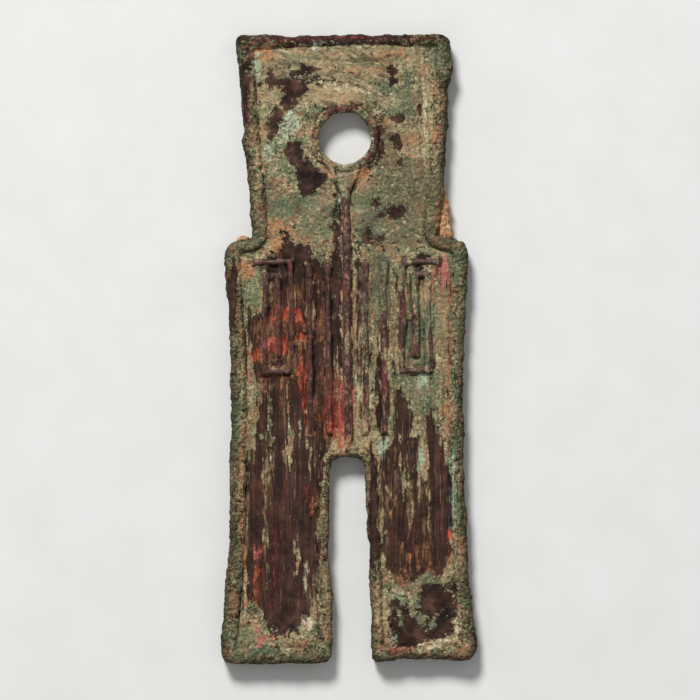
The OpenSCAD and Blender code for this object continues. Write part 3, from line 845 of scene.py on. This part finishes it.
def brown_colour(sheet, body):
    """Smooth brown bronze, streaked with rust and earth down the body, with pale specks."""
    smooth = sheet.noise(1.2, roughness=0.6)
    fibre = sheet.noise(0.35, stretch=(1, 18, 1), roughness=0.68)
    drawn = sheet.mix(0.55, smooth, fibre)
    colour = sheet.grains(sheet.mix(body, smooth, drawn), BROWN_GRAINS)
    grit = sheet.noise(0.3, offset=11.8)
    colour = sheet.tinted(colour, grit, 0.55, 0.68, 0.4, BROWN_GRIT)
    rust = sheet.noise(0.3, stretch=(1, 16, 1), roughness=0.68, offset=3.1)
    colour = sheet.tinted(colour, sheet.times(body, rust), 0.53, 0.66, 0.45, RUST_STREAK)
    earth = sheet.noise(0.22, stretch=(1, 24, 1), detail=4.0, roughness=0.66, offset=6.7)
    colour = sheet.tinted(colour, sheet.times(body, earth), 0.6, 0.69, 0.65, EARTH_STREAK)
    dust = sheet.noise(0.16, detail=2.0, roughness=0.6)
    return sheet.tinted(colour, dust, 0.69, 0.75, 0.6, DUST)


def along_lines(sheet, colour):
    """Dark crevices of dirt and painted shade, and lodged earth, along the foot of the border,
    collar and raised lines.
    """
    low = sheet.edge(sheet.value("height"), 0.3, 0.1)
    level = sheet.times(low, sheet.edge(sheet.value("height"), -0.5, -0.3))
    place = sheet.value("lodged")
    close = sheet.times(sheet.edge(sheet.value("gap"), 0.32, 0.08), level)
    # Painted shade: the foot of the lines and rims is darkened where the lodged map is low, as
    # dirt and as the shade in the crevice
    dark = sheet.times(close, sheet.edge(place, 0.16, -0.08))
    colour = sheet.blend(sheet.times(dark, 0.8), colour, CREVICE_DIRT_AND_SHADE)
    waver = sheet.noise(1.4, stretch=(1, 1.6, 1), offset=9.9)
    reach = sheet.times(sheet.minus(waver, 0.5), 1.6)
    near = sheet.edge(sheet.minus(reach, sheet.value("gap")), -0.1, 0.06)
    share = sheet.times(sheet.times(near, level), sheet.edge(place, 0.04, 0.26))
    earth = sheet.grains(sheet.noise(0.5, stretch=(1, 2, 1), offset=4.4), LODGED_GRAINS)
    return sheet.blend(sheet.times(share, 0.75), colour, earth)


def rubbed_and_highlit_crests(sheet, colour, bare):
    """Plum bronze over a colour where lines stand high, lighter in worn spots near their tops as
    rubbed wear and painted highlight, and how far they are rubbed bare.
    """
    height = sheet.value("height")
    clear = sheet.edge(sheet.value("buried"), 0.12, -0.1)
    crest = sheet.times(sheet.edge(height, 0.16, 0.3), clear)
    plum = sheet.grains(sheet.noise(0.4, detail=6.0, offset=5.6), PLUM_GRAINS)
    blush = sheet.noise(1.6, stretch=(1, 2, 1), detail=4.0, roughness=0.6, offset=22.6)
    plum = sheet.tinted(plum, blush, 0.52, 0.64, 0.5, BLUSH)
    # Painted highlight: worn spots near the crests' tops are lighter, partly rubbed wear and
    # partly a painted highlight
    worn = sheet.noise(0.5, stretch=(1, 2, 1), detail=6.0, roughness=0.72, offset=14.9)
    rubbed_wear_and_highlight = sheet.times(sheet.edge(worn, 0.5, 0.62), sheet.edge(height, 0.28, 0.38))
    plum = sheet.blend(sheet.times(rubbed_wear_and_highlight, 0.5), plum, RUBBED_AND_HIGHLIGHT)
    patchy = sheet.noise(2.6, stretch=(1, 2, 1), roughness=0.65, offset=17.3)
    rub = sheet.times(sheet.mix(sheet.edge(patchy, 0.4, 0.54), 0.3, 1.0), bare)
    return sheet.blend(crest, colour, plum), sheet.times(crest, rub)


def patina_layers(sheet, body, speck, rubbed, colour, covered):
    """A colour under the layers of patina, and how far crust or patina covers the bronze."""
    thinned = sheet.times(rubbed, 0.6) if rubbed else None
    for number, (layer, most, scatter, colours) in enumerate(LAYERS):
        spots = sheet.noise(0.45, detail=6.0, roughness=0.74, offset=4.3 * number + 7.7)
        lines = sheet.noise(0.28, stretch=(1, 8, 1), detail=6.0, roughness=0.72,
                            offset=2.9 * number + 1.7)
        loose = sheet.minus(sheet.mix(body, spots, lines), 0.5)
        amount = sheet.plus(sheet.value(layer), sheet.times(loose, scatter))
        if thinned:
            amount = sheet.minus(amount, thinned)
        share = sheet.times(sheet.edge(amount, -0.1, 0.3), most)
        colour = sheet.blend(share, colour, sheet.grains(sheet.mix(0.5, speck, spots), colours))
        covered = sheet.larger(share, covered)
    return colour, covered


def patina_material(name, bare=0.0, dark=0.0, rim=0.0, soil=0.0, gloss=0.08, smooth=0.6,
                    granular=0.2):
    """Brown bronze under the layers of patina that the piece carries at its vertices.

    A piece whose crests are rubbed bare has less crust, and plum bronze high up, lighter in worn
    spots near the tops as rubbed wear and painted highlight. Dark gives the crust darker grains,
    and rim paints shade on it, darker towards the coin's edge. A piece of soil is orange earth
    under the layers. Smooth is the bronze's roughness, and granular the height of the crust's
    granules in mm.
    """
    sheet = Sheet(name)
    body = sheet.value("body")
    colour = brown_colour(sheet, body)
    ragged = sheet.noise(0.4)
    frayed = sheet.noise(0.28, stretch=(1, 10, 1), roughness=0.66, offset=8.3)
    loose = sheet.minus(sheet.mix(body, ragged, frayed), 0.5)
    crust = sheet.plus(sheet.value("crust"), sheet.times(loose, sheet.mix(body, 2.1, 1.5)))
    rubbed = None
    if bare:
        colour, rubbed = rubbed_and_highlit_crests(sheet, colour, bare)
        crust = sheet.minus(crust, rubbed)
    covered = sheet.edge(crust, -0.04, 0.06)
    colour = sheet.blend(covered, colour, crust_colour(sheet, body, dark))
    colour = along_lines(sheet, colour)
    speck = sheet.noise(0.26, detail=6.0, roughness=0.75)
    if soil:
        colour = sheet.blend(soil, colour, sheet.grains(speck, SOIL_GRAINS))
    colour, covered = patina_layers(sheet, body, speck, rubbed, colour, covered)
    # Painted shade: the colour darkens towards the coin's edge and down its sides, as the rounded
    # border does in shade
    if rim:
        shade = sheet.times(sheet.edge(sheet.value("rim"), 0.5, 1.5), rim)
        colour = sheet.blend(shade, colour, RIM_SHADE)
    granules = sheet.noise(0.36, detail=1.5, roughness=0.5, offset=13.3)
    height = sheet.times(granules, sheet.mix(covered, 0.25, 1.0))
    height = sheet.times(height, sheet.mix(sheet.value("wiped"), 1.0, 0.4))
    bump = sheet.add("ShaderNodeBump", {
        "Height": height, "Strength": 1.0, "Distance": granular * MM})
    return sheet.finish({
        "Base Color": colour, "Roughness": sheet.mix(covered, smooth, CRUST_ROUGHNESS),
        "Specular IOR Level": gloss, "Normal": bump.outputs[0]})


def build_coin():
    """All the pieces, each in place of its node."""
    border = patina_material("granular_patina", dark=0.06, rim=0.6, granular=0.36)
    field = patina_material("brown_patina")
    collar = patina_material("rubbed_patina", bare=0.16)
    relief = patina_material("plum_patina", bare=0.5, gloss=0.28, smooth=0.46)
    earth = patina_material("earth_crust", soil=0.85)
    make_piece("worn_border", "border", "bronze_border", border,
               cell=0.14, lumps=0.12, wear=0.16, grit=2.2)
    make_piece("worn_field", "field", "bronze_field", field,
               cell=0.175, lumps=0.045, wear=0.1, spread=0.35)
    make_piece("worn_collar", "hole_collar", "bronze_border", collar,
               cell=0.1, lumps=0.05, wear=0.3, spread=-0.08)
    for node in FACE_LINES:
        make_piece("worn_" + node, node, "bronze_relief", relief,
                   cell=0.09, lumps=0.04, wear=0.2, grit=0.5, sink=0.35)
    make_piece("worn_back_ridge", "back_ridge", "bronze_relief", relief,
               cell=0.09, lumps=0.03, wear=0.2, grit=0.3, rise=0.35)
    make_piece("neck_earth", "neck_crust", "burial_crust", earth,
               cell=0.08, lumps=0.16, wear=0.3, grit=2.0, spread=0.2, shift=-0.22)
    make_piece("shoulder_earth", "shoulder_grain", "burial_crust", earth,
               cell=0.06, lumps=0.08, wear=0.3, grit=1.6, spread=-0.04)


# Camera, floor and light, in metres

VIEW_CENTRE = Vector((0.28 * MM, -0.09 * MM, COIN_HIGH[2] * MM))
VIEW_WIDTH = 64.12 * MM
VIEW_DISTANCE = 0.6
VIEW_ROLL = 0.43                      # degrees
SENSOR = 36.0                         # mm
FLOOR_HALF = 0.9
LAMP_PLACE, LAMP_SIZE, LAMP_POWER = Vector((-0.22, 0.62, 0.6)), 0.25, 8.2
SKY_COLOUR, SKY_STRENGTH = (1, 1, 1, 1), 0.34


def add_camera():
    """A camera straight above the face, far off, with the photo's slight turn."""
    data = bpy.data.cameras.new("camera")
    data.sensor_width = SENSOR
    data.lens = SENSOR * VIEW_DISTANCE / VIEW_WIDTH
    data.clip_start, data.clip_end = 0.01, 10.0
    camera = bpy.data.objects.new("camera", data)
    bpy.context.scene.collection.objects.link(camera)
    turn = Matrix.Rotation(math.radians(-VIEW_ROLL), 4, "Z")
    camera.matrix_world = Matrix.Translation(VIEW_CENTRE + Vector((0, 0, VIEW_DISTANCE))) @ turn
    bpy.context.scene.camera = camera


def add_floor():
    """A plain pale floor under the coin's back border."""
    half = FLOOR_HALF
    mesh = bpy.data.meshes.new("floor")
    corners = [(-half, -half, 0), (half, -half, 0), (half, half, 0), (-half, half, 0)]
    mesh.from_pydata(corners, [], [(0, 1, 2, 3)])
    sheet = Sheet("pale_floor")
    mottle = sheet.noise(6.0, detail=2.0, roughness=0.6)
    colour = sheet.ramp(mottle, FLOOR_TONES, 0.3, 0.7)
    mesh.materials.append(sheet.finish({"Base Color": colour, "Roughness": FLOOR_ROUGHNESS}))
    floor = bpy.data.objects.new("floor", mesh)
    bpy.context.scene.collection.objects.link(floor)


def add_light():
    """One soft lamp towards the coin, and an even white sky."""
    data = bpy.data.lights.new("key", "AREA")
    data.shape = "DISK"
    data.size, data.energy = LAMP_SIZE, LAMP_POWER
    lamp = bpy.data.objects.new("key", data)
    bpy.context.scene.collection.objects.link(lamp)
    lamp.location = LAMP_PLACE
    lamp.rotation_euler = (-LAMP_PLACE).to_track_quat("-Z", "Y").to_euler()
    world = bpy.data.worlds.new("studio")
    world.use_nodes = True
    sky = world.node_tree.nodes["Background"]
    sky.inputs["Color"].default_value = SKY_COLOUR
    sky.inputs["Strength"].default_value = SKY_STRENGTH
    bpy.context.scene.world = world


add_camera()
build_coin()
add_floor()
add_light()
bpy.context.scene.view_settings.view_transform = "Standard"
